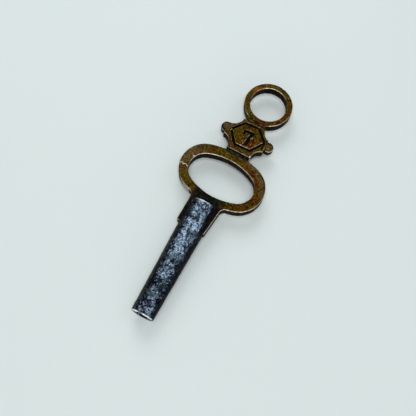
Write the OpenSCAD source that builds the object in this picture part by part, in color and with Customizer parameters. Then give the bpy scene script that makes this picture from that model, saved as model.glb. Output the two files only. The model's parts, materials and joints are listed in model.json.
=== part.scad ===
// Pocket watch winding key, number 7: a flat brass bow whose tang is brazed
// into the slotted end of a tapered steel pipe with a square winding socket.
// Units are millimetres. X runs across the key, +Y towards the suspension
// ring, +Z up from the surface the key lies on.

/* [Bow plate] */
// Thickness of the brass plate
plate_t = 1.4; // [1:0.1:1.8]
// How far the necks lie below each face of the plate
neck_recess = 0.32; // [0.05:0.01:0.35]

/* [Suspension ring] */
// Outer diameter of the suspension ring
ring_od = 6.3; // [5.6:0.1:7.6]
// Hole through the suspension ring
ring_id = 4.8; // [4:0.1:5.2]
// Distance between the ring and the cartouche
ring_gap = 0.2; // [0.15:0.05:0.4]
// Width of the foot on which the ring stands
ring_foot_w = 2.5; // [1.6:0.1:3]
// Width of the notch between the ring's foot and the cartouche
notch_w = 0.13; // [0.08:0.01:0.15]

/* [Cartouche] */
// Length of the cartouche along the key
cart_h = 4.6; // [4.2:0.1:5.6]
// Width of the cartouche's foot, towards the oval
cart_foot_w = 3.3; // [2.8:0.1:3.6]
// Width of the cartouche's head, towards the ring
cart_head_w = 3.1; // [2.9:0.1:3.4]
// Angle by which the cartouche was cast askew
cart_turn = 2; // [-3:0.5:3]
// How far the cartouche was cast off the key's centre line
cart_shift = -0.06; // [-0.15:0.01:0.15]
// Distance between the centres of the two side lobes
lobe_span = 5.92; // [5.4:0.02:7]
// Diameter of the left lobe
lobe_left_d = 1.5; // [1.2:0.02:1.6]
// Diameter of the right lobe
lobe_right_d = 1.34; // [1.2:0.02:1.6]
// Height of the lobes and the panel's points above the cartouche's foot
lobe_rise = 2.58; // [2.2:0.02:2.9]

/* [Panel and numeral] */
// Length of the panel's edge towards the oval
panel_foot_w = 1.94; // [1.6:0.02:2.1]
// Length of the panel's edge towards the ring
panel_head_w = 1.8; // [1.4:0.02:1.9]
// Distance between the panel and the cartouche's foot
panel_foot_margin = 0.98; // [0.8:0.02:1.1]
// Distance between the panel and the cartouche's head
panel_head_margin = 0.6; // [0.5:0.02:0.8]
// Angle of the panel on the cartouche
panel_turn = 3; // [-5:0.5:5]
// Width of the bridge that breaks the groove beside the left lobe
bridge_w = 0.34; // [0.1:0.02:0.5]
// Width of the groove that frames the panel
groove_w = 0.32; // [0.2:0.02:0.34]
// Depth of the groove that frames the panel
groove_depth = 0.3; // [0.1:0.02:0.4]
// Width of the size numeral
numeral_w = 1.46; // [1.1:0.02:1.6]
// Height of the size numeral
numeral_h = 2.06; // [1.6:0.02:2.2]
// Stroke width of the size numeral
numeral_stroke = 0.36; // [0.24:0.02:0.4]
// Width of the numeral's stem at its foot
numeral_foot_w = 0.5; // [0.3:0.02:0.6]
// Depth of the size numeral
numeral_depth = 0.26; // [0.1:0.02:0.4]
// Angle of the size numeral on the cartouche
numeral_turn = 6; // [-10:1:10]

/* [Finger oval] */
// Width of the oval across the key
oval_w = 11.4; // [10:0.1:14]
// Length of the oval along the key
oval_h = 7.54; // [7.3:0.02:9.2]
// Radius of the oval's round ends
oval_end_r = 3.4; // [3:0.05:3.6]
// Width of the hole in the oval
hole_w = 8.84; // [7.4:0.02:9.2]
// Length of the hole in the oval
hole_h = 5.28; // [4.7:0.02:5.5]
// Radius of the hole's round ends
hole_end_r = 2.15; // [1.8:0.05:2.3]
// How far the hole sits from the oval's middle, towards the pipe
hole_drop = 0.14; // [0:0.02:0.2]
// Recessed gap between the oval and the cartouche
neck_gap = 0.27; // [0.15:0.01:0.4]

/* [Tang] */
// How far the tang reaches into the pipe's slot
tang_len = 3.4; // [2.4:0.1:4.2]
// Width of the tang where it leaves the oval
tang_root_w = 4.1; // [3.9:0.05:5]
// Width of the tang's end
tang_end_w = 3.8; // [3.6:0.05:4.2]
// Radius of the fillets between the tang and the oval
tang_fillet_r = 0.8; // [0.3:0.05:1]
// Plate left between the pipe's end and the oval's lower edge
root_gap = 0.33; // [0.2:0.01:0.6]

/* [Pipe] */
// Length of the steel pipe
pipe_len = 15.3; // [12:0.1:22]
// Diameter of the pipe at its tip
pipe_tip_d = 2.86; // [2.6:0.02:3.3]
// Diameter of the pipe at its slotted end
pipe_top_d = 3.56; // [3.4:0.02:4.2]
// Width across the flats of the winding socket
socket_af = 1.3; // [0.9:0.05:1.6]
// Depth of the winding socket
socket_depth = 8.5; // [5:0.1:8.5]
// Bevel around the pipe's tip
tip_bevel = 0.12; // [0.05:0.01:0.25]
// Angle at which the pipe leans from the bow's centre line, in the bow's plane
pipe_lean = 3.2; // [-4:0.1:4]

/* [Braze] */
// Gap between the tang and the slot, filled with braze
braze_gap = 0.05; // [0.03:0.01:0.1]
// Size of the braze fillet around the pipe
braze_fillet = 0.16; // [0.05:0.01:0.2]

/* [Hidden] */
$fn = 96;
arc_fn = 240; // for the long arcs of the oval
eps = 0.01;
over = 1; // how far a cut runs past the face it leaves
sink = 0.6; // how far the necks and fillets reach into what they join
lobe_clear = 0.1; // between the panel's points and the lobes

// Stations along the bow, from the pipe's end face upwards
oval_y = root_gap + oval_h / 2;
hole_y = oval_y - hole_drop;
cart_y = root_gap + oval_h + neck_gap;
cart_mid_y = cart_y + cart_h / 2;
ring_y = cart_y + cart_h + ring_gap + ring_od / 2;
bow_top_y = ring_y + ring_od / 2;

// The pipe leans about the middle of the tang
lean_y = -tang_len / 2;
pipe_drop = (pipe_len - tang_len / 2) * cos(pipe_lean) + (pipe_tip_d / 2 - tip_bevel) * sin(abs(pipe_lean));
tip_y = lean_y - pipe_drop;

// The key's origin is the middle of its length, on the surface below it
shift_y = -(bow_top_y + tip_y) / 2;
axis_z = pipe_top_d / 2;

neck_t = plate_t - 2 * neck_recess;
slot_t = plate_t + 2 * braze_gap;

// Heights on the cartouche, from its own middle
lobe_y = lobe_rise - cart_h / 2;
panel_low_y = panel_foot_margin - cart_h / 2;
panel_high_y = cart_h / 2 - panel_head_margin;
panel_half = (lobe_span - max(lobe_left_d, lobe_right_d)) / 2 - lobe_clear;

// Moves the bow's own datum to the key's origin
module seat() {
    translate([0, shift_y, axis_z]) children();
}

// Frame of the pipe: +Z up the pipe from its tip, as assembled
module along_pipe() {
    translate([0, lean_y, 0])
        rotate([0, 0, pipe_lean])
            translate([0, -lean_y - pipe_len, 0])
                rotate([-90, 0, 0]) children();
}

// Plate of thickness t, centred on the bow's middle plane
module sheet(t) {
    translate([0, 0, -t / 2]) linear_extrude(t) children();
}

// Does the same thing on the left and on the right
module both_sides() {
    children();
    mirror([1, 0, 0]) children();
}

// Oval drawn with four arcs: w by h, with end radius r
function side_r(w, h, r) = (pow(w / 2 - r, 2) + pow(h / 2, 2) - r * r) / (h - 2 * r);
module oval(w, h, r) {
    big = side_r(w, h, r);
    drop = big - h / 2;
    meet = (w / 2 - r) * big / (big - r);
    intersection() {
        translate([0, drop]) circle(big, $fn = arc_fn);
        translate([0, -drop]) circle(big, $fn = arc_fn);
        square([2 * meet, h + over], center = true);
    }
    both_sides() translate([w / 2 - r, 0]) circle(r);
}

// Oval's lower edge at a distance x from the middle
function oval_edge_y(x) = oval_y - oval_h / 2 + side_r(oval_w, oval_h, oval_end_r)
    - sqrt(pow(side_r(oval_w, oval_h, oval_end_r), 2) - x * x);

// Tang with a fillet on each side where it grows out of the oval
module tang_outline() {
    fillet_x = tang_root_w / 2 + tang_fillet_r;
    fillet_y = oval_edge_y(fillet_x) - tang_fillet_r;
    fillet_h = tang_fillet_r + sink / 2;
    polygon([
        [-tang_end_w / 2, -tang_len],
        [tang_end_w / 2, -tang_len],
        [tang_root_w / 2, 0],
        [tang_root_w / 2, hole_y - hole_h / 2],
        [-tang_root_w / 2, hole_y - hole_h / 2],
        [-tang_root_w / 2, 0]
    ]);
    both_sides() difference() {
        translate([tang_root_w / 2 - eps, fillet_y])
            square([tang_fillet_r + eps, fillet_h]);
        translate([fillet_x, fillet_y]) circle(tang_fillet_r);
    }
}

// Frame of the cartouche: its own middle, as cast
module on_cartouche() {
    translate([cart_shift, cart_mid_y, 0]) rotate([0, 0, cart_turn]) children();
}

// Cartouche: foot and head with hollow flanks that run out to the lobes
module cartouche_outline() {
    foot_scallop_r = 1.3;
    foot_scallop_rise = 0.25;
    head_scallop_r = 1.35;
    left = lobe_span / 2;
    right = lobe_span / 2 - lobe_right_d / 4;
    difference() {
        translate([-left, -cart_h / 2]) square([left + right, cart_h]);
        both_sides() translate([cart_foot_w / 2 + foot_scallop_r, foot_scallop_rise - cart_h / 2]) {
            circle(foot_scallop_r);
            translate([-foot_scallop_r, -cart_h]) square([2 * foot_scallop_r, cart_h]);
        }
        both_sides() translate([cart_head_w / 2 + head_scallop_r, cart_h / 2])
            circle(head_scallop_r);
    }
}

// Outline grown by g, with its corners kept sharp; its points run anticlockwise
function edge_normal(a, b) = [b.y - a.y, a.x - b.x] / norm(b - a);
function grown(points, g) = let (n = len(points)) [
    for (i = [0:n - 1]) let (
        before = edge_normal(points[(i + n - 1) % n], points[i]),
        after = edge_normal(points[i], points[(i + 1) % n])
    ) points[i] + g * (before + after) / (1 + before * after)
];

// Hexagonal panel with its points towards the lobes
panel_points = [
    [-panel_foot_w / 2, panel_low_y],
    [panel_foot_w / 2, panel_low_y],
    [panel_half, lobe_y],
    [panel_head_w / 2, panel_high_y],
    [-panel_head_w / 2, panel_high_y],
    [-panel_half, lobe_y]
];

// Groove around the panel, cut into the upper face and left open at the bridge
module panel_groove() {
    translate([0, 0, plate_t / 2 - groove_depth]) rotate([0, 0, panel_turn]) linear_extrude(2 * groove_depth)
        difference() {
            polygon(grown(panel_points, groove_w));
            polygon(panel_points);
            translate([-lobe_span / 2, lobe_y]) square([lobe_left_d, bridge_w], center = true);
        }
}

// Size numeral 7, drawn around its own middle: a bar with a serif, and a stem that widens downwards
module numeral_outline() {
    half_w = numeral_w / 2;
    half_h = numeral_h / 2;
    s = numeral_stroke;
    serif_y = half_h - 1.9 * s;
    foot_x = 0.1;
    polygon([
        [-half_w + 0.15 * s, serif_y],
        [-half_w, half_h],
        [half_w, half_h],
        [half_w, half_h - 0.6 * s],
        [foot_x + numeral_foot_w / 2, -half_h],
        [foot_x - numeral_foot_w / 2, -half_h],
        [half_w - 1.4 * s, half_h - s],
        [-half_w + s, half_h - s],
        [-half_w + 0.8 * s, serif_y]
    ]);
}

// Side lobe of diameter d: a stub with a domed top and bottom
module lobe(d) {
    dome_r = 0.85 * d;
    intersection() {
        cylinder(h = plate_t, d = d, center = true);
        translate([0, 0, plate_t / 2 - dome_r]) sphere(dome_r);
        translate([0, 0, dome_r - plate_t / 2]) sphere(dome_r);
    }
}

// Everything of the cartouche that stands, in its own frame
module cartouche_body() {
    sheet(plate_t) cartouche_outline();
    translate([-lobe_span / 2, lobe_y, 0]) lobe(lobe_left_d);
    translate([lobe_span / 2, lobe_y, 0]) lobe(lobe_right_d);
    // Foot of the ring, beyond the notch
    sheet(plate_t) translate([-ring_foot_w / 2, cart_h / 2 + notch_w])
        square([ring_foot_w, sink]);
    // Recessed necks towards the ring and the oval
    sheet(neck_t) translate([-ring_foot_w / 2, cart_h / 2 - eps])
        square([ring_foot_w, ring_gap + sink]);
    sheet(neck_t) translate([-cart_foot_w / 2, -cart_h / 2 - neck_gap - sink])
        square([cart_foot_w, neck_gap + sink + eps]);
}

// Frustum that holds the whole outside of the pipe, grown by g all round
module pipe_envelope(g) {
    slope = (pipe_top_d - pipe_tip_d) / 2 / pipe_len;
    cylinder(h = pipe_len + g, r1 = pipe_tip_d / 2 + g, r2 = pipe_top_d / 2 + g + slope * g);
}

// Space that the slot takes out of the pipe's upper end
module slot_space() {
    translate([-tang_root_w, -tang_len - braze_gap, -slot_t / 2])
        cube([2 * tang_root_w, tang_len + braze_gap + pipe_top_d, slot_t]);
}

// Brass plate: ring, cartouche, finger oval and tang in one piece
module bow_solid() {
    difference() {
        union() {
            sheet(plate_t) translate([0, ring_y]) circle(d = ring_od);
            on_cartouche() cartouche_body();
            sheet(plate_t) {
                translate([0, oval_y]) oval(oval_w, oval_h, oval_end_r);
                tang_outline();
            }
        }
        sheet(plate_t + over) translate([0, hole_y]) oval(hole_w, hole_h, hole_end_r);
        translate([0, ring_y, 0]) cylinder(h = plate_t + over, d = ring_id, center = true);
        on_cartouche() {
            panel_groove();
            mirror([0, 0, 1]) panel_groove();
            translate([0, 0, plate_t / 2 - numeral_depth])
                rotate([0, 0, numeral_turn]) linear_extrude(2 * numeral_depth) numeral_outline();
        }
    }
}

module bow() {
    color([0.42, 0.32, 0.13]) seat() bow_solid();
}

// Steel pipe: tapered, slotted at the top for the tang, square socket in the tip
module pipe() {
    color([0.34, 0.38, 0.42]) seat() difference() {
        along_pipe() difference() {
            union() {
                cylinder(h = tip_bevel, r1 = pipe_tip_d / 2 - tip_bevel, r2 = pipe_tip_d / 2);
                intersection() {
                    pipe_envelope(0);
                    translate([0, 0, tip_bevel]) cylinder(h = pipe_len, d = 2 * pipe_top_d);
                }
            }
            translate([-socket_af / 2, -socket_af / 2, -over])
                cube([socket_af, socket_af, socket_depth + over]);
        }
        slot_space();
    }
}

// Braze: the film that fills the slot around the tang, and the fillet outside it
module braze() {
    color([0.16, 0.14, 0.11]) seat() difference() {
        union() {
            intersection() {
                along_pipe() pipe_envelope(0);
                slot_space();
            }
            difference() {
                intersection() {
                    along_pipe() pipe_envelope(braze_fillet);
                    translate([-tang_end_w / 2, -tang_len, -plate_t / 2 - braze_fillet])
                        cube([tang_end_w, tang_len + root_gap, plate_t + 2 * braze_fillet]);
                }
                along_pipe() pipe_envelope(0);
            }
        }
        sheet(plate_t) {
            tang_outline();
            translate([0, oval_y]) oval(oval_w, oval_h, oval_end_r);
        }
    }
}

bow();
pipe();
braze();
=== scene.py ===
import bmesh
import bpy
import json
import math
import numpy as np
from mathutils import Matrix, Vector, noise


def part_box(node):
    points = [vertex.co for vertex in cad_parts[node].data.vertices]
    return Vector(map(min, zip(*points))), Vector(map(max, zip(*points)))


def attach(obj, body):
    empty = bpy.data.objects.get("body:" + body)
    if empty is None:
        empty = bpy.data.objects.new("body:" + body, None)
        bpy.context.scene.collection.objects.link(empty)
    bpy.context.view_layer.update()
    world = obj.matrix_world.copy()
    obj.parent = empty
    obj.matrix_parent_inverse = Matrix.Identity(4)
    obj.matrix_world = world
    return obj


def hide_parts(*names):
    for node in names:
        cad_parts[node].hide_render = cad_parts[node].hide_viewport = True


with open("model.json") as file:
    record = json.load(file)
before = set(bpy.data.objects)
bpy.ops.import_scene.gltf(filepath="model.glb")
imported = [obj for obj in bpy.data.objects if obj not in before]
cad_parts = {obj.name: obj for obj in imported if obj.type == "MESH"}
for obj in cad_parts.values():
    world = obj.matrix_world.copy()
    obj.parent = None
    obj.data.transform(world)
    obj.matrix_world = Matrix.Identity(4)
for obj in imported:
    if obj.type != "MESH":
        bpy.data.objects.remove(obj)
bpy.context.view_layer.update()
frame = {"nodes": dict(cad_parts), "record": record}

mm = 0.001

mounts = {m["name"]: m for m in frame["record"]["mounts"]}
ringCentre = Vector(mounts["suspension_ring"]["pos_m"])
tipCentre = Vector(mounts["winding_square"]["pos_m"])
pipeDown = Vector(mounts["winding_square"]["axis"]).normalized()   # from the bow to the tip
bowLow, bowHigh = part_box("bow")
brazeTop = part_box("braze")[1].y / mm    # its upper end on the tang, mm
print("frame loaded:", ", ".join(sorted(frame["nodes"])))


# camera

view = {
    "aim": (0.50, -1.98, 1.78),     # mm, where the lens points
    "distance": 75.9,               # mm
    "azimuth": -23.3,               # 0 looks along +Y
    "elevation": 70.0,
    "roll": 8.0,
    "lens": 53.7,
    "sensor": 36.0,
    "clip": (0.002, 5.0),           # m
}


def placeCamera():
    data = bpy.data.cameras.new("benchCamera")
    data.lens = view["lens"]
    data.sensor_width = view["sensor"]
    data.clip_start, data.clip_end = view["clip"]
    camera = bpy.data.objects.new("benchCamera", data)
    bpy.context.scene.collection.objects.link(camera)
    azimuth = math.radians(view["azimuth"])
    elevation = math.radians(view["elevation"])
    forward = Vector((math.sin(azimuth) * math.cos(elevation),
                      math.cos(azimuth) * math.cos(elevation),
                      -math.sin(elevation)))
    turn = forward.to_track_quat("-Z", "Y").to_matrix().to_4x4()
    roll = Matrix.Rotation(math.radians(view["roll"]), 4, "Z")
    place = Vector(view["aim"]) * mm - forward * view["distance"] * mm
    camera.matrix_world = Matrix.Translation(place) @ turn @ roll
    bpy.context.scene.camera = camera


placeCamera()
print("camera set")


# floor and lights

studio = {
    "floorColour": (0.735, 0.80, 0.785),
    "floorSize": 1.2,
    "floorRoughness": 0.9,
    "floorGloss": 0.1,
    "world": (0.94, 0.98, 1.0),
    "worldStrength": 0.27,
    # name, place and aim in m, size in m, power in W, tint
    "lights": [
        ("overheadBox", (0.03, -0.075, 0.27), (0, 0, 0), (0.11, 0.11), 0.36, (0.97, 0.99, 1.0)),
        ("windowBox", (-0.07, 0.09, 0.12), (0, 0, 0), (0.10, 0.10), 0.085, (0.96, 0.98, 1.0)),
        ("sideStrip", (0.14, -0.17, 0.045), (0, 0, 0.002), (0.24, 0.06), 0.085, (1.0, 0.98, 0.95)),
        ("frontStrip", (-0.03, -0.22, 0.045), (0, 0, 0.002), (0.20, 0.05), 0.06, (1.0, 0.98, 0.95)),
        ("crestStrip", (0.105, 0.08, 0.20), (0, -0.006, 0.003), (0.035, 0.12), 0.030, (0.94, 0.97, 1.0)),
    ],
}


def layFloor():
    bpy.ops.mesh.primitive_plane_add(size=studio["floorSize"], location=(0, 0, 0))
    floor = bpy.context.object
    floor.name = "paleFloor"
    card = bpy.data.materials.new("paleCard")
    card.use_nodes = True
    shader = card.node_tree.nodes["Principled BSDF"]
    shader.inputs["Base Color"].default_value = (*studio["floorColour"], 1)
    shader.inputs["Roughness"].default_value = studio["floorRoughness"]
    shader.inputs["Specular IOR Level"].default_value = studio["floorGloss"]
    floor.data.materials.append(card)


def hangLight(name, place, aim, size, power, tint):
    data = bpy.data.lights.new(name, "AREA")
    data.shape = "RECTANGLE"
    data.size, data.size_y = size
    data.energy = power
    data.color = tint
    lamp = bpy.data.objects.new(name, data)
    bpy.context.scene.collection.objects.link(lamp)
    lamp.location = place
    lamp.rotation_euler = (Vector(aim) - Vector(place)).to_track_quat("-Z", "Y").to_euler()


def lightStudio():
    world = bpy.data.worlds.new("paleRoom")
    world.use_nodes = True
    background = world.node_tree.nodes["Background"]
    background.inputs["Color"].default_value = (*studio["world"], 1)
    background.inputs["Strength"].default_value = studio["worldStrength"]
    bpy.context.scene.world = world
    for light in studio["lights"]:
        hangLight(*light)
    bpy.context.scene.view_settings.view_transform = "Standard"


layFloor()
lightStudio()
print("floor and lights set")


# fine mesh from a CAD node

weldGap = 0.0005    # mm, corners nearer than this are one point


def fineMesh(nodeName, voxel):
    # in millimetres from here to makePiece: the net is finer than the remesher takes in metres
    mesh = frame["nodes"][nodeName].data.copy()
    mesh.transform(Matrix.Scale(1 / mm, 4))
    shape = bmesh.new()
    shape.from_mesh(mesh)
    bmesh.ops.remove_doubles(shape, verts=shape.verts, dist=weldGap)
    shape.to_mesh(mesh)
    shape.free()
    mesh.materials.clear()
    holder = bpy.data.objects.new(nodeName + "Net", mesh)
    bpy.context.scene.collection.objects.link(holder)
    net = holder.modifiers.new("net", "REMESH")
    net.mode = "VOXEL"
    net.voxel_size = voxel
    net.use_smooth_shade = True
    graph = bpy.context.evaluated_depsgraph_get()
    fine = bpy.data.meshes.new_from_object(holder.evaluated_get(graph))
    bpy.data.objects.remove(holder)
    return fine


def readPoints(mesh):
    points = np.empty(len(mesh.vertices) * 3)
    mesh.vertices.foreach_get("co", points)
    return points.reshape(-1, 3)


def readNormals(mesh):
    normals = np.empty(len(mesh.vertices) * 3)
    mesh.vertices.foreach_get("normal", normals)
    return normals.reshape(-1, 3)


def writePoints(mesh, points):
    mesh.vertices.foreach_set("co", points.ravel())
    mesh.update()


def edgePairs(mesh):
    pairs = np.empty(len(mesh.edges) * 2, dtype=np.int64)
    mesh.edges.foreach_get("vertices", pairs)
    return pairs.reshape(-1, 2)


def relax(points, pairs, passes, share=1.0):
    # each pass takes a point half way to the middle of its neighbours, times its share
    count = len(points)
    degree = np.bincount(pairs.ravel(), minlength=count).astype(float)[:, None]
    degree[degree == 0] = 1
    pull = share if np.isscalar(share) else share[:, None]
    for step in range(passes):
        total = np.zeros_like(points)
        for axis in range(3):
            total[:, axis] = (np.bincount(pairs[:, 0], points[pairs[:, 1], axis], count)
                              + np.bincount(pairs[:, 1], points[pairs[:, 0], axis], count))
        points = points + (total / degree - points) * 0.5 * pull
    return points


def proudness(mesh, points, pairs, passes):
    # how far a point stands out of its surroundings, in mm; negative in a corner or a groove
    writePoints(mesh, relax(points, pairs, 3))    # a few passes steady the normals
    return ((points - relax(points, pairs, passes)) * readNormals(mesh)).sum(1)


grainSettings = (1.0, 2.0, 3)    # how fast detail fades, how much finer each octave is, octaves
grainStep = 17.3                 # from the place of one seed in the noise to the next


def grain(points, size, seed):
    # soft noise between about -1 and 1; size is that of a lump in mm, one number or three
    places = points / (np.ones(3) * size) + seed * grainStep
    return np.array([noise.fractal(Vector(place), *grainSettings) for place in places])


def ramp(values, low, high):
    # 0 up to low, 1 from high on, and smooth between
    t = np.clip((values - low) / (high - low), 0, 1)
    return t * t * (3 - 2 * t)


def most(*masks):
    # the strongest of several masks at each point
    total = masks[0]
    for mask in masks[1:]:
        total = np.maximum(total, mask)
    return total


ragSize = 0.5    # mm, of the bays in a ragged rim
ragSeed = 7.0


def nearPath(points, path, inner, outer):
    # 1 within inner mm of a line drawn on the plate, 0 beyond outer mm
    flat = points[:, :2]
    best = np.full(len(points), 1e9)
    for start, end in zip(path[:-1], path[1:]):
        start = np.array(start)
        run = np.array(end) - start
        share = np.clip((flat - start) @ run / (run @ run), 0, 1)
        best = np.minimum(best, np.linalg.norm(flat - start - share[:, None] * run, axis=1))
    return 1 - ramp(best, inner, outer)


def nearSpot(points, spot, inner, outer, rag=0.0):
    # 1 within inner mm of a spot on the plate, 0 beyond outer mm; rag roughens its rim by so many mm
    distance = np.linalg.norm(points[:, :2] - np.array(spot), axis=1)
    if rag:
        distance = distance + rag * grain(points, ragSize, spot[0] + ragSeed)
    return 1 - ramp(distance, inner, outer)


def saveMask(mesh, name, values):
    layer = mesh.attributes.new(name, "FLOAT", "POINT")
    layer.data.foreach_set("value", np.clip(values, 0, 1).astype(np.float32))


def makePiece(name, mesh, nodeName, material):
    mesh.transform(Matrix.Scale(mm, 4))
    mesh.materials.append(material)
    mesh.shade_smooth()
    mesh.name = name
    piece = bpy.data.objects.new(name, mesh)
    bpy.context.scene.collection.objects.link(piece)
    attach(piece, "root")
    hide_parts(nodeName)


# shader helpers

def isSocket(value):
    return isinstance(value, bpy.types.NodeSocket)


class Bench:
    # a small bench for one material's nodes; finish is the piece's dictionary
    def __init__(self, name, finish):
        self.finish = finish
        self.material = bpy.data.materials.new(name)
        self.material.use_nodes = True
        self.tree = self.material.node_tree
        self.shader = self.tree.nodes["Principled BSDF"]
        place = self.tree.nodes.new("ShaderNodeTexCoord").outputs["Object"]
        self.place = self.scaled(place, (1 / mm,) * 3)

    def link(self, value, socket):
        if isSocket(value):
            self.tree.links.new(value, socket)
        else:
            socket.default_value = value

    def scaled(self, vector, scale, shift=(0, 0, 0)):
        node = self.tree.nodes.new("ShaderNodeMapping")
        self.tree.links.new(vector, node.inputs["Vector"])
        node.inputs["Scale"].default_value = scale
        node.inputs["Location"].default_value = shift
        return node.outputs["Vector"]

    def mask(self, name):
        node = self.tree.nodes.new("ShaderNodeAttribute")
        node.attribute_name = name
        return node.outputs["Fac"]

    def speckle(self, name):
        size, detail, roughness, seed, stretch = self.finish["speckles"][name]
        node = self.tree.nodes.new("ShaderNodeTexNoise")
        vector = self.scaled(self.place, stretch, (seed, seed * 1.7, -seed))
        self.tree.links.new(vector, node.inputs["Vector"])
        node.inputs["Scale"].default_value = 1.0 / size
        node.inputs["Detail"].default_value = detail
        node.inputs["Roughness"].default_value = roughness
        return node.outputs["Fac"]

    def span(self, value, name):
        low, high, outLow, outHigh = self.finish["spans"][name]
        node = self.tree.nodes.new("ShaderNodeMapRange")
        node.interpolation_type = "SMOOTHSTEP"
        self.link(value, node.inputs["Value"])
        node.inputs["From Min"].default_value = low
        node.inputs["From Max"].default_value = high
        node.inputs["To Min"].default_value = outLow
        node.inputs["To Max"].default_value = outHigh
        return node.outputs["Result"]

    def patches(self, name):
        # a speckle and the span of the same name
        return self.span(self.speckle(name), name)

    def reckon(self, kind, a, b):
        node = self.tree.nodes.new("ShaderNodeMath")
        node.operation = kind
        node.use_clamp = True
        self.link(a, node.inputs[0])
        self.link(b, node.inputs[1])
        return node.outputs[0]

    def plus(self, a, b):
        return self.reckon("ADD", a, b)

    def minus(self, a, b):
        return self.reckon("SUBTRACT", a, b)

    def times(self, a, b):
        return self.reckon("MULTIPLY", a, b)

    def blend(self, share, under, over):
        node = self.tree.nodes.new("ShaderNodeMix")
        node.data_type = "RGBA"
        self.link(share, node.inputs["Factor"])
        # for colours the node uses inputs 6 and 7 and output 2
        self.link(under if isSocket(under) else (*under, 1), node.inputs[6])
        self.link(over if isSocket(over) else (*over, 1), node.inputs[7])
        return node.outputs[2]

    def bump(self, height, depth):
        node = self.tree.nodes.new("ShaderNodeBump")
        node.inputs["Distance"].default_value = depth * mm
        node.inputs["Strength"].default_value = 1.0
        self.tree.links.new(height, node.inputs["Height"])
        return node.outputs["Normal"]

    def dress(self, colour, metallic, roughness):
        # what every material here sets on its shader
        self.link(colour, self.shader.inputs["Base Color"])
        self.link(metallic, self.shader.inputs["Metallic"])
        self.link(roughness, self.shader.inputs["Roughness"])
        self.shader.inputs["Specular IOR Level"].default_value = self.finish["gloss"]
        self.link(self.bump(self.speckle("grit"), self.finish["gritDepth"]), self.shader.inputs["Normal"])
        return self.material


even = (1, 1, 1)    # a speckle as long as it is wide


# brass bow

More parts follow.
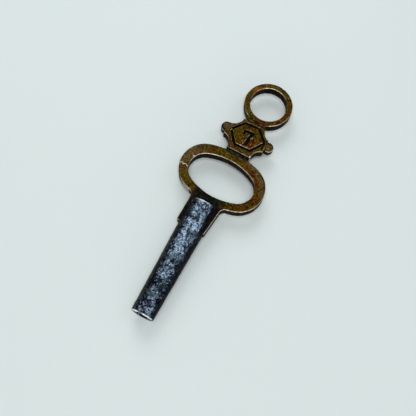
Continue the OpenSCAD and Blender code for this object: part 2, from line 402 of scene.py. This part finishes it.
# a pair of numbers is where a fade starts and where it ends, unless its note says otherwise
bow = {
    "voxel": 0.055,                 # mm between net points
    "standPasses": 8,               # passes that find the edges and the corners
    "edgePasses": 9,                # rounding of the outer edges
    "markPasses": 2,                # rounding of the struck marks, which stay crisp
    "ringToCartouche": 5.65,        # mm from the ring's centre to the cartouche's middle
    "marksHalf": (2.55, 2.75),      # half size of the part with crisp marks
    "marksRim": (0.92, 1.0),
    # relief in mm: height, and size of a lump
    "wave": (0.022, 2.2),
    "lumps": (0.012, 0.5),
    "pits": (0.035, 0.33),
    "pitsFade": (0.35, 0.8),
    "scratchDepth": 0.05,
    "nickDepth": 0.05,
    # edges worn bright, and a painted highlight on the worn edges that face the lit side
    "litSide": (0.50, -0.84, 0.20),
    "wearFade": (0.005, 0.022),     # mm that the edge stands proud
    "litFade": (0.22, 0.55),     # how much it faces the lit side, where the painted highlight goes
    "upwardFade": (0.12, 0.45),
    # how much and where the painted highlight on an edge is left out, from the cartouche's middle
    "dull": [
        (0.85, [(-2.6, 0.5), (-1.35, 2.1), (1.2, 2.15), (2.3, 1.0)]),
        (0.85, [(-0.75, 1.05), (0.85, 1.15)]),
        (0.85, [(-1.5, 2.55), (1.6, 2.6)]),
        (0.50, [(-1.7, -2.3), (1.3, -2.25)]),
        (0.35, [(-1.0, -1.3), (0.95, -1.3), (2.1, 0.2)]),
    ],
    "dullWidth": (0.26, 0.42),
    # bare metal in the scars, and painted highlights on a wall and on a corner; a width is mm within
    # which it is full and mm beyond which there is none
    "wallGlint": [(-4.5, -0.45), (-3.5, -1.15), (-2.8, -1.5)],   # painted highlight on the wall beside the pipe
    "wallGlintShine": 0.42,
    "wallGlintWidth": (0.20, 0.34),
    "wallGlintFacing": (0.3, 0.6),
    "wallGlintDepth": (0.10, 0.25),     # mm below the face
    "footCorner": (1.62, -2.10),    # painted highlight on the corner, from the cartouche's middle
    "footCornerShine": 0.8,
    "footCornerWidth": (0.04, 0.2),
    "scratch": [(-5.45, 1.2), (-5.2, 1.35), (-5.0, 1.15), (-4.8, 1.4), (-4.55, 1.25), (-4.35, 1.2)],
    "scratchWidth": (0.01, 0.08),
    "fleck": (0.50, 8.81),
    "fleckWidth": (0.05, 0.19),
    "nick": (-4.46, 2.78),
    "nickWidth": (0.06, 0.20),
    "scarShine": {"scratch": 0.5, "fleck": 0.45, "nick": 0.5},
    "faceFade": (0.5, 0.9),         # the scratch, the fleck and the nick stay on the flat face
    # soot with painted shade on the walls and in the struck marks, soot around the pipe, and soot with
    # painted shade on the tang
    "wallFade": (0.08, 0.18),       # mm below the face
    "marksHigher": 0.04,            # mm by which the painted shade and dirt start higher in the struck marks
    "wallPatch": (0.22, (0.7, 0.7, 0.35)),   # how much is missing, and the size of a patch
    "wallPatchFade": (0.15, 0.6),
    "scorch": 0.95,
    "scorchWidth": (1.5, 3.0),
    "scorchRag": 0.7,
    "scorchBelow": 0.1,             # mm from the braze's upper end to the middle of the scorched spot
    "tang": 0.97,
    "tangFade": (-0.5, 0.2),        # mm from the braze's upper end
    # painted shade, with dirt, in the joins and corners, from the cartouche's middle
    "seams": [
        [(-1.5, 2.42), (-0.5, 2.46), (1.5, 2.54)],
        [(2.28, -0.35), (2.22, 0.15), (2.35, 0.72), (2.95, 0.98)],
        [(1.25, 1.70), (2.02, 0.45)],
    ],
    "seamWidth": (0.09, 0.21),
    "footSeam": [(-1.6, -2.62), (1.5, -2.55)],
    # painted shade, with soot, in the recess at the cartouche's foot
    "footSeamSootAndShade": 0.93,
    "footSeamWidth": (0.16, 0.42),
    "footSeamRag": (0.1, 0.4),      # how much, and size of its bays, mm
    # green in the necks, from the cartouche's middle
    "lowerNeck": [(-1.4, -2.5), (1.6, -2.4)],
    "lowerNeckWidth": (0.2, 0.7),
    "upperNeck": [(0.3, 2.4), (1.4, 2.5)],
    "upperNeckWidth": (0.1, 0.4),
    "neckGreen": 0.8,
    "scorchGreen": 0.35,
    # where the brass has gone grey; the lobes are from the cartouche's middle
    "greyed": 0.55,                 # how strong
    "greyEnd": (-5.2, 2.9),
    "greyEndWidth": (0.6, 3.4),
    "greyEndRag": 0.8,
    "greyLobes": [(-3.0, 0.25), (3.40, 0.45)],
    "greyLobeWidth": (0.35, 0.8),
    "greyRim": [(1.9, 5.55), (3.6, 4.9), (4.9, 3.7), (5.5, 2.3)],
    "greyRimShare": 0.9,
    "greyRimWidth": (0.15, 0.6),
    # where it has gone ruddy
    "ruddy": [
        [(2.7, 14.9), (2.9, 13.2), (1.6, 11.6), (0.3, 11.5)],
        [(-4.4, 2.9), (-3.2, 3.9), (-1.6, 4.3)],
        [(1.6, 5.1), (3.3, 4.3), (4.6, 2.9), (4.9, 1.6)],
        [(-1.2, 6.75), (-0.3, 6.7)],
        [(0.2, 7.6), (1.2, 8.2)],
        [(2.55, 8.6), (2.7, 8.9)],
    ],
    "ruddyWidth": (0.2, 0.75),
    "copperSpot": (-2.4, 15.45),
    "copperShare": 0.85,
    "copperWidth": (0.18, 0.75),
    "copperRag": 0.25,
    # colours
    "brown": (0.042, 0.020, 0.001),
    "olive": (0.078, 0.056, 0.0015),
    "redBrown": (0.100, 0.017, 0.001),
    "gold": (0.27, 0.19, 0.010),
    "grey": (0.125, 0.085, 0.040),
    # near black: soot, the dark spots, and painted shade
    "sootAndShade": (0.0015, 0.0015, 0.0012),
    "verdigris": (0.008, 0.040, 0.034),
    "copper": (0.23, 0.060, 0.006),
    # pale bare metal, also the colour of the painted highlights
    "bareAndHighlight": (0.95, 0.88, 0.72),
    "gloss": 0.03,
    "bareSmoothness": 0.16,
    "gritDepth": 0.018,             # mm
    # size in mm, detail, roughness, seed, stretch
    "speckles": {
        "patch": (1.5, 4, 0.6, 2.0, even),
        "red": (0.75, 5, 0.72, 13.0, even),
        "fine": (0.24, 4, 0.75, 7.0, even),
        "spots": (0.20, 4, 0.75, 27.0, even),
        "green": (0.35, 3, 0.6, 51.0, even),
        "rubbed": (0.45, 4, 0.7, 21.0, even),
        "broken": (0.6, 4, 0.7, 35.0, (1, 1, 0.4)),
        "roughness": (0.4, 3, 0.6, 31.0, even),
        "grit": (0.16, 5, 0.7, 41.0, even),
    },
    # value from and to, result from and to; a value that runs down picks the low speckles
    "spans": {
        "patch": (0.40, 0.60, 0, 1),
        "ruddy": (0, 1, 0, 0.09),
        "red": (0.50, 0.61, 0, 0.9),
        "fine": (0.53, 0.65, 0, 0.75),
        "spots": (0.51, 0.40, 0, 0.95),
        "green": (0.50, 0.62, 0, 1),
        "rubbed": (0.40, 0.60, 0, 0.6),
        "broken": (0.34, 0.50, 0.25, 1),
        "metal": (0, 1, 0.62, 0),
        "roughness": (0.3, 0.7, 0.40, 0.62),
    },
}

cartouche = np.array([0, ringCentre.y / mm - bow["ringToCartouche"]])    # its middle, mm


def agedBrass():
    b = Bench("agedBrass", bow)
    red = b.plus(b.speckle("red"), b.span(b.mask("ruddy"), "ruddy"))
    colour = b.blend(b.patches("patch"), bow["brown"], bow["olive"])
    colour = b.blend(b.span(red, "red"), colour, bow["redBrown"])
    colour = b.blend(b.mask("greyed"), colour, bow["grey"])
    colour = b.blend(b.patches("fine"), colour, bow["gold"])
    colour = b.blend(b.patches("spots"), colour, bow["sootAndShade"])
    colour = b.blend(b.mask("copper"), colour, bow["copper"])
    # soot with painted shade on the walls, in the struck marks, joins and recesses, and on the tang
    colour = b.blend(b.mask("sootAndShade"), colour, bow["sootAndShade"])
    colour = b.blend(b.times(b.mask("green"), b.patches("green")), colour, bow["verdigris"])
    colour = b.blend(b.times(b.mask("wear"), b.patches("rubbed")), colour, bow["gold"])
    # bare metal in the scars and on worn edges, and painted highlights on the edges that face the lit
    # side
    bareAndHighlight = b.times(b.mask("wornAndPaintedShine"), b.patches("broken"))
    colour = b.blend(bareAndHighlight, colour, bow["bareAndHighlight"])
    metal = b.plus(b.span(b.mask("sootAndShade"), "metal"), bareAndHighlight)
    roughness = b.minus(b.patches("roughness"), b.times(bareAndHighlight, bow["bareSmoothness"]))
    return b.dress(colour, metal, roughness)


def roundBow(mesh):
    # wears the net round, and notes what the finish needs to know of every point
    points = readPoints(mesh)
    pairs = edgePairs(mesh)
    inside = np.abs(points[:, :2] - cartouche) / np.array(bow["marksHalf"])
    net = {
        "stand": proudness(mesh, points, pairs, bow["standPasses"]),
        "depth": np.minimum(bowHigh.z / mm - points[:, 2], points[:, 2] - bowLow.z / mm),
        "fromMiddle": points - np.array([*cartouche, 0]),
        "marks": 1 - ramp(inside.max(1), *bow["marksRim"]),
    }
    points = relax(points, pairs, bow["edgePasses"], 1 - net["marks"])
    points = relax(points, pairs, bow["markPasses"], net["marks"])
    writePoints(mesh, points)
    net["points"] = points
    net["normals"] = readNormals(mesh)
    net["facing"] = net["normals"] @ np.array(Vector(bow["litSide"]).normalized())
    return net


def scarBow(net):
    # the scratch, the bare fleck and the nick on the upper face
    points = net["points"]
    face = ramp(net["normals"][:, 2], *bow["faceFade"])
    return {
        "scratch": nearPath(points, bow["scratch"], *bow["scratchWidth"]) * face,
        "fleck": nearSpot(points, bow["fleck"], *bow["fleckWidth"]) * face,
        "nick": nearSpot(points, bow["nick"], *bow["nickWidth"]) * face,
    }


def wornAndPaintedShineBow(net, wear, scars):
    points = net["points"]
    facing = net["facing"]
    # a painted highlight on the worn edges that face the lit side, left out along the dull paths
    wornAndPaintedShine = wear * ramp(facing, *bow["litFade"])
    wornAndPaintedShine = wornAndPaintedShine * ramp(np.abs(net["normals"][:, 2]), *bow["upwardFade"])
    for share, path in bow["dull"]:
        wornAndPaintedShine = wornAndPaintedShine * (1 - share * nearPath(net["fromMiddle"], path, *bow["dullWidth"]))
    # painted highlights on the wall beside the pipe and on the corner of the cartouche's foot
    wallGlint = nearPath(points, bow["wallGlint"], *bow["wallGlintWidth"])
    wallGlint = wallGlint * ramp(facing, *bow["wallGlintFacing"]) * ramp(net["depth"], *bow["wallGlintDepth"])
    corner = nearSpot(points, cartouche + bow["footCorner"], *bow["footCornerWidth"])
    wornAndPaintedShine = most(wornAndPaintedShine, bow["wallGlintShine"] * wallGlint, bow["footCornerShine"] * corner)
    return most(wornAndPaintedShine, *(bow["scarShine"][scar] * mask for scar, mask in scars.items()))


def sootAndShadeBow(net, scorched):
    points = net["points"]
    fromMiddle = net["fromMiddle"]
    missing, patchSize = bow["wallPatch"]
    # painted shade, with grime, on the walls and on the floors of the struck marks
    walls = ramp(net["depth"] + bow["marksHigher"] * net["marks"], *bow["wallFade"])
    walls = walls * (1 - missing * ramp(grain(points, patchSize, 13), *bow["wallPatchFade"]))
    # soot and painted shade on the tang beside the pipe
    tangFull, tangClean = bow["tangFade"]
    tang = 1 - ramp(points[:, 1], brazeTop + tangFull, brazeTop + tangClean)
    sootAndShade = most(walls, bow["scorch"] * scorched, bow["tang"] * tang)
    # painted shade, with dirt, in the joins and corners
    for path in bow["seams"]:
        sootAndShade = most(sootAndShade, nearPath(fromMiddle, path, *bow["seamWidth"]))
    inner, outer = bow["footSeamWidth"]
    rag, bay = bow["footSeamRag"]
    outer = outer + rag * grain(points, bay, 9)
    return most(sootAndShade, bow["footSeamSootAndShade"] * nearPath(fromMiddle, bow["footSeam"], inner, outer))


def greenBow(points, scorched):
    # verdigris in the necks and around the scorched spot
    fromMiddle = points - np.array([*cartouche, 0])
    necks = most(nearPath(fromMiddle, bow["lowerNeck"], *bow["lowerNeckWidth"]),
                 nearPath(fromMiddle, bow["upperNeck"], *bow["upperNeckWidth"]))
    return most(bow["neckGreen"] * necks, bow["scorchGreen"] * scorched)


def castBow(net, scars):
    # the uneven casting, its pits and its scars; gives back the moved points
    points = net["points"]
    waveHeight, waveSize = bow["wave"]
    lumpHeight, lumpSize = bow["lumps"]
    pitDepth, pitSize = bow["pits"]
    lift = waveHeight * grain(points, waveSize, 1) + lumpHeight * grain(points, lumpSize, 2)
    lift -= pitDepth * ramp(grain(points, pitSize, 3), *bow["pitsFade"])
    lift -= bow["scratchDepth"] * scars["scratch"] + bow["nickDepth"] * scars["nick"]
    return points + net["normals"] * lift[:, None]


def greyBow(points):
    greyed = nearSpot(points, bow["greyEnd"], *bow["greyEndWidth"], bow["greyEndRag"])
    for lobe in bow["greyLobes"]:
        greyed = most(greyed, nearSpot(points, cartouche + lobe, *bow["greyLobeWidth"]))
    rim = nearPath(points, bow["greyRim"], *bow["greyRimWidth"])
    return bow["greyed"] * most(greyed, bow["greyRimShare"] * rim)


def makeBow():
    mesh = fineMesh("bow", bow["voxel"])
    net = roundBow(mesh)
    scars = scarBow(net)
    wear = ramp(net["stand"], *bow["wearFade"])
    pipeEnd = (0, brazeTop - bow["scorchBelow"])
    scorched = nearSpot(net["points"], pipeEnd, *bow["scorchWidth"], bow["scorchRag"])
    saveMask(mesh, "wear", wear)
    saveMask(mesh, "wornAndPaintedShine", wornAndPaintedShineBow(net, wear, scars))
    saveMask(mesh, "sootAndShade", sootAndShadeBow(net, scorched))
    saveMask(mesh, "green", greenBow(net["points"], scorched))
    points = castBow(net, scars)
    writePoints(mesh, points)
    saveMask(mesh, "greyed", greyBow(points))
    saveMask(mesh, "ruddy", most(*(nearPath(points, path, *bow["ruddyWidth"]) for path in bow["ruddy"])))
    copper = nearSpot(points, bow["copperSpot"], *bow["copperWidth"], bow["copperRag"])
    saveMask(mesh, "copper", bow["copperShare"] * copper)
    makePiece("brassBow", mesh, "bow", agedBrass())
    print("bow made:", len(mesh.vertices), "points")


makeBow()


# steel pipe

pipe = {
    "voxel": 0.06,                  # mm between net points
    "standPasses": 6,
    "edgePasses": 3,
    # relief in mm: height, and size of a lump along X, Y and Z or all ways alike
    "swell": (0.018, 0.9),
    "pits": (0.05, (0.5, 0.8, 0.5)),
    "pitsFade": (0.30, 0.62),
    "dots": (0.03, 0.24),
    "dotsFade": (0.42, 0.75),
    "endCalm": 0.7,                 # how much flatter the tip's end face stays
    # the worn dip in the middle of the tip's upper edge, mm
    "dipDepth": 0.05,
    "dipSide": -0.22,               # its middle, left of the pipe's own
    "dipFade": (0.14, 0.42),
    "dipLength": (0.1, 0.3),
    "dipShine": 0.15,               # what is left of the rim's worn shine and painted highlight in the dip
    # the tip's end face and its worn rim, with a painted highlight on their upper half
    "endFacing": (0.4, 0.8),
    "endLength": (0.1, 0.4),
    "rimStand": (0.02, 0.06),
    "rimLength": (0.15, 0.45),
    "upperFade": (0.15, 0.6),       # mm above the pipe's middle
    # a painted highlight on the edge at the upper end, beside the bow
    "topEdge": 0.65,
    "topEdgeLength": (-0.22, -0.08),    # mm from the pipe's upper end
    "topEdgeLeft": (-0.75, -0.3),
    "topEdgeRight": (0.35, 0.6),
    "topEdgeUpward": (0.2, 0.5),
    # the crest is rubbed bright and carries a painted highlight, more so towards the bow, and a short
    # painted highlight streaks it near the tip; facing is -1 on the left and 1 on the right
    "crestFacing": 0.12,
    "crestFade": (0.35, 0.85),
    "crestAtTip": 0.60,             # how strong it is at the tip, of 1 by the bow
    "crestLength": (0.15, 0.7),     # share of the pipe's length
    "streakFacing": 0.42,
    "streakFade": (0.10, 0.28),
    "streakLength": (1.6, 2.6),     # mm from the tip
    # painted shade on the flanks, with a ragged edge
    "rag": (0.10, 0.45),            # how much, and size of its bays in mm
    "rightFrom": 0.70,              # the facing at which the right flank starts
    "rightTipShift": 0.08,          # how much later it starts at the tip
    "rightFade": (-0.06, 0.06),
    "rightFlank": 0.95,
    "leftRag": 1.6,                 # times as ragged as the right one
    "leftFade": (0.66, 0.92),
    "leftFlank": 0.85,
    "flankGap": 0.25,               # how much is missing in the gaps of the painted shade
    "flankGapFade": (0.02, 0.06),
    # painted shade underneath and on the lower half of the tip's end face
    "underFade": (0.2, 0.7),
    "underEnd": 1.4,                # the lower half of the tip's end face
    "under": 0.7,
    # the thin olive line low on the left
    "lineFacing": (0.82, 0.90),
    "lineUpward": (-0.2, 0.1),
    "lineRag": (-0.04, 0.02),
    "line": 0.9,
    "pitDark": 0.9,
    # colours
    # rubbed steel; the palest shades also carry the painted highlight along the crest
    "pale": (0.46, 0.61, 0.79),
    "steel": (0.105, 0.150, 0.215),
    "mid": (0.030, 0.040, 0.065),
    # near black: scale, pits, dust, and the painted shade on the flanks and underneath
    "dark": (0.0025, 0.0025, 0.005),
    "rust": (0.040, 0.020, 0.010),
    "olive": (0.080, 0.060, 0.018),
    "teal": (0.045, 0.085, 0.085),
    # bright bare metal on the worn rim, also the painted highlight on the rim's upper half and on the
    # upper edge
    "bareAndHighlight": (0.92, 0.93, 0.95),
    "gloss": 0.05,
    "bareSmoothness": 0.15,
    "gritDepth": 0.02,              # mm
    # size in mm, detail, roughness, seed, stretch
    "speckles": {
        "cells": (0.24, 5, 0.80, 9.0, even),
        "blotch": (1.1, 4, 0.62, 3.0, even),
        "lumps": (0.42, 4, 0.7, 39.0, even),
        "tint": (1.3, 3, 0.6, 27.0, even),
        "dust": (0.19, 2, 0.6, 19.0, even),
        "rust": (0.42, 4, 0.7, 15.0, even),
        "roughness": (0.5, 3, 0.6, 33.0, even),
        "grit": (0.14, 5, 0.7, 43.0, even),
    },
    # value from and to, result from and to; a value that runs down picks the low speckles
    "spans": {
        "crestAndHighlight": (0, 1, -0.15, 0.05),
        "crestTop": (0.75, 1.0, 0, 0.04),
        "blotch": (0.32, 0.66, -0.08, 0.06),
        "lumps": (0.36, 0.62, -0.10, 0.07),
        "mid": (0.40, 0.46, 0, 1),
        "steel": (0.44, 0.52, 0, 1),
        "pale": (0.50, 0.72, 0, 1),
        "tint": (0.52, 0.66, 0, 0.5),
        "dust": (0.475, 0.39, 0, 0.94),
        "rust": (0.60, 0.70, 0, 0.8),
        "metal": (0, 1, 0.45, 0),
        "roughness": (0.3, 0.7, 0.34, 0.55),
    },
}


def pittedSteel():
    b = Bench("pittedSteel", pipe)
    # how much scale is rubbed off: fine cells, more of them along the crest, which also carries a painted
    # highlight
    rubbed = b.plus(b.speckle("cells"), b.span(b.mask("crestAndHighlight"), "crestAndHighlight"))
    rubbed = b.plus(rubbed, b.span(b.mask("crestAndHighlight"), "crestTop"))
    rubbed = b.plus(rubbed, b.patches("blotch"))
    rubbed = b.plus(rubbed, b.patches("lumps"))
    colour = pipe["dark"]
    for shade in ("mid", "steel", "pale"):
        colour = b.blend(b.span(rubbed, shade), colour, pipe[shade])
    colour = b.blend(b.patches("tint"), colour, pipe["teal"])
    colour = b.blend(b.patches("dust"), colour, pipe["dark"])
    colour = b.blend(b.mask("pit"), colour, pipe["dark"])
    colour = b.blend(b.patches("rust"), colour, pipe["rust"])
    # painted shade on the flanks and underneath; it takes the metal away there too
    colour = b.blend(b.mask("flankShade"), colour, pipe["dark"])
    colour = b.blend(b.times(b.mask("line"), pipe["line"]), colour, pipe["olive"])
    # the worn rim, with painted highlights on its upper half and on the edge at the upper end
    colour = b.blend(b.mask("wornAndPaintedShine"), colour, pipe["bareAndHighlight"])
    metal = b.plus(b.span(b.mask("flankShade"), "metal"), b.mask("wornAndPaintedShine"))
    roughness = b.minus(b.patches("roughness"), b.times(b.mask("wornAndPaintedShine"), pipe["bareSmoothness"]))
    return b.dress(colour, metal, roughness)


def roundPipe(mesh):
    # rounds the net a little, and notes what the finish needs to know of every point
    points = readPoints(mesh)
    pairs = edgePairs(mesh)
    stand = proudness(mesh, points, pairs, pipe["standPasses"])
    points = relax(points, pairs, pipe["edgePasses"])
    writePoints(mesh, points)
    normals = readNormals(mesh)
    upPipe = -np.array(pipeDown)
    across = np.array([upPipe[1], -upPipe[0], 0])
    fromTip = points - np.array(tipCentre) / mm
    along = fromTip @ upPipe
    endFace = ramp(-(normals @ upPipe), *pipe["endFacing"]) * (1 - ramp(along, *pipe["endLength"]))
    return {
        "points": points,
        "normals": normals,
        "stand": stand,
        "along": along,
        "length": along.max(),
        "facing": normals @ across,
        "endFace": endFace,
        "upper": ramp(fromTip[:, 2], *pipe["upperFade"]),
        "besideDip": ramp(np.abs(fromTip @ across - pipe["dipSide"]), *pipe["dipFade"]),
    }


def wornAndPaintedShinePipe(net):
    # the worn rim of the tip with a painted highlight on its upper half, and a painted highlight on the
    # edge at the upper end
    wear = ramp(net["stand"], *pipe["rimStand"])
    rim = most(wear * (1 - ramp(net["along"], *pipe["rimLength"])), net["endFace"])
    rim = rim * net["upper"] * (pipe["dipShine"] + (1 - pipe["dipShine"]) * net["besideDip"])
    edgeStart, edgeFull = pipe["topEdgeLength"]
    topEdge = pipe["topEdge"] * ramp(net["along"], net["length"] + edgeStart, net["length"] + edgeFull)
    topEdge = topEdge * ramp(net["facing"], *pipe["topEdgeLeft"])
    topEdge = topEdge * (1 - ramp(net["facing"], *pipe["topEdgeRight"]))
    topEdge = topEdge * ramp(net["normals"][:, 2], *pipe["topEdgeUpward"])
    return most(rim, topEdge)


def crestPipe(net):
    # the rubbed crest with a painted highlight, and a short painted highlight streaking the tip
    crestStart, crestFull = (share * net["length"] for share in pipe["crestLength"])
    crestAndHighlight = 1 - ramp(np.abs(net["facing"] - pipe["crestFacing"]), *pipe["crestFade"])
    towardsBow = ramp(net["along"], crestStart, crestFull)
    crestAndHighlight = crestAndHighlight * (pipe["crestAtTip"] + (1 - pipe["crestAtTip"]) * towardsBow)
    streak = 1 - ramp(np.abs(net["facing"] - pipe["streakFacing"]), *pipe["streakFade"])
    return most(crestAndHighlight, streak * (1 - ramp(net["along"], *pipe["streakLength"])))


def flankShadePipe(net):
    # painted shade on both flanks, underneath and on the lower half of the tip's end face
    facing = net["facing"]
    rag = net["rag"]
    rightFrom = pipe["rightFrom"] + pipe["rightTipShift"] * (1 - net["along"] / net["length"])
    right = ramp(facing + rag - rightFrom, *pipe["rightFade"])
    left = ramp(-facing + pipe["leftRag"] * rag, *pipe["leftFade"])
    flankShade = most(pipe["rightFlank"] * right, pipe["leftFlank"] * left)
    flankShade = flankShade * (1 - pipe["flankGap"] * ramp(rag, *pipe["flankGapFade"]))
    lowerEnd = pipe["underEnd"] * net["endFace"] * (1 - net["upper"])
    under = most(ramp(-net["normals"][:, 2], *pipe["underFade"]), lowerEnd)
    return most(flankShade, pipe["under"] * under)


def makePipe():
    mesh = fineMesh("pipe", pipe["voxel"])
    net = roundPipe(mesh)
    points = net["points"]
    swellHeight, swellSize = pipe["swell"]
    pitDepth, pitSize = pipe["pits"]
    dotDepth, dotSize = pipe["dots"]
    pits = ramp(grain(points, pitSize, 5), *pipe["pitsFade"])
    dots = ramp(grain(points, dotSize, 8), *pipe["dotsFade"])
    lift = swellHeight * grain(points, swellSize, 6) - pitDepth * pits - dotDepth * dots
    lift *= 1 - pipe["endCalm"] * net["endFace"]
    dip = (1 - net["besideDip"]) * net["upper"] * (1 - ramp(net["along"], *pipe["dipLength"]))
    lift -= pipe["dipDepth"] * dip
    points = points + net["normals"] * lift[:, None]
    writePoints(mesh, points)
    rag, bay = pipe["rag"]
    net["rag"] = rag * grain(points, bay, 11)
    line = ramp(-net["facing"], *pipe["lineFacing"]) * ramp(net["normals"][:, 2], *pipe["lineUpward"])
    saveMask(mesh, "wornAndPaintedShine", wornAndPaintedShinePipe(net))
    saveMask(mesh, "pit", most(pipe["pitDark"] * pits, dots))
    saveMask(mesh, "crestAndHighlight", crestPipe(net))
    saveMask(mesh, "line", line * ramp(net["rag"], *pipe["lineRag"]))
    saveMask(mesh, "flankShade", flankShadePipe(net))
    makePiece("steelPipe", mesh, "pipe", pittedSteel())
    print("pipe made:", len(mesh.vertices), "points")


makePipe()


# braze

braze = {
    "black": (0.0025, 0.0022, 0.0018),
    "brown": (0.035, 0.016, 0.006),
    "metal": 0.15,
    "gloss": 0.05,
    "gritDepth": 0.03,              # mm
    # size in mm, detail, roughness, seed, stretch
    "speckles": {
        "brown": (0.3, 5, 0.7, 5.0, even),
        "roughness": (0.4, 3, 0.6, 9.0, even),
        "grit": (0.12, 5, 0.7, 8.0, even),
    },
    # value from and to, result from and to; a value that runs down picks the low speckles
    "spans": {
        "brown": (0.50, 0.68, 0, 1),
        "roughness": (0.3, 0.7, 0.5, 0.7),
    },
}


def sootyBraze():
    b = Bench("sootyBraze", braze)
    colour = b.blend(b.patches("brown"), braze["black"], braze["brown"])
    return b.dress(colour, braze["metal"], b.patches("roughness"))


def finishBraze():
    seam = frame["nodes"]["braze"]
    seam.data.materials.clear()
    seam.data.materials.append(sootyBraze())
    print("braze finished")


finishBraze()
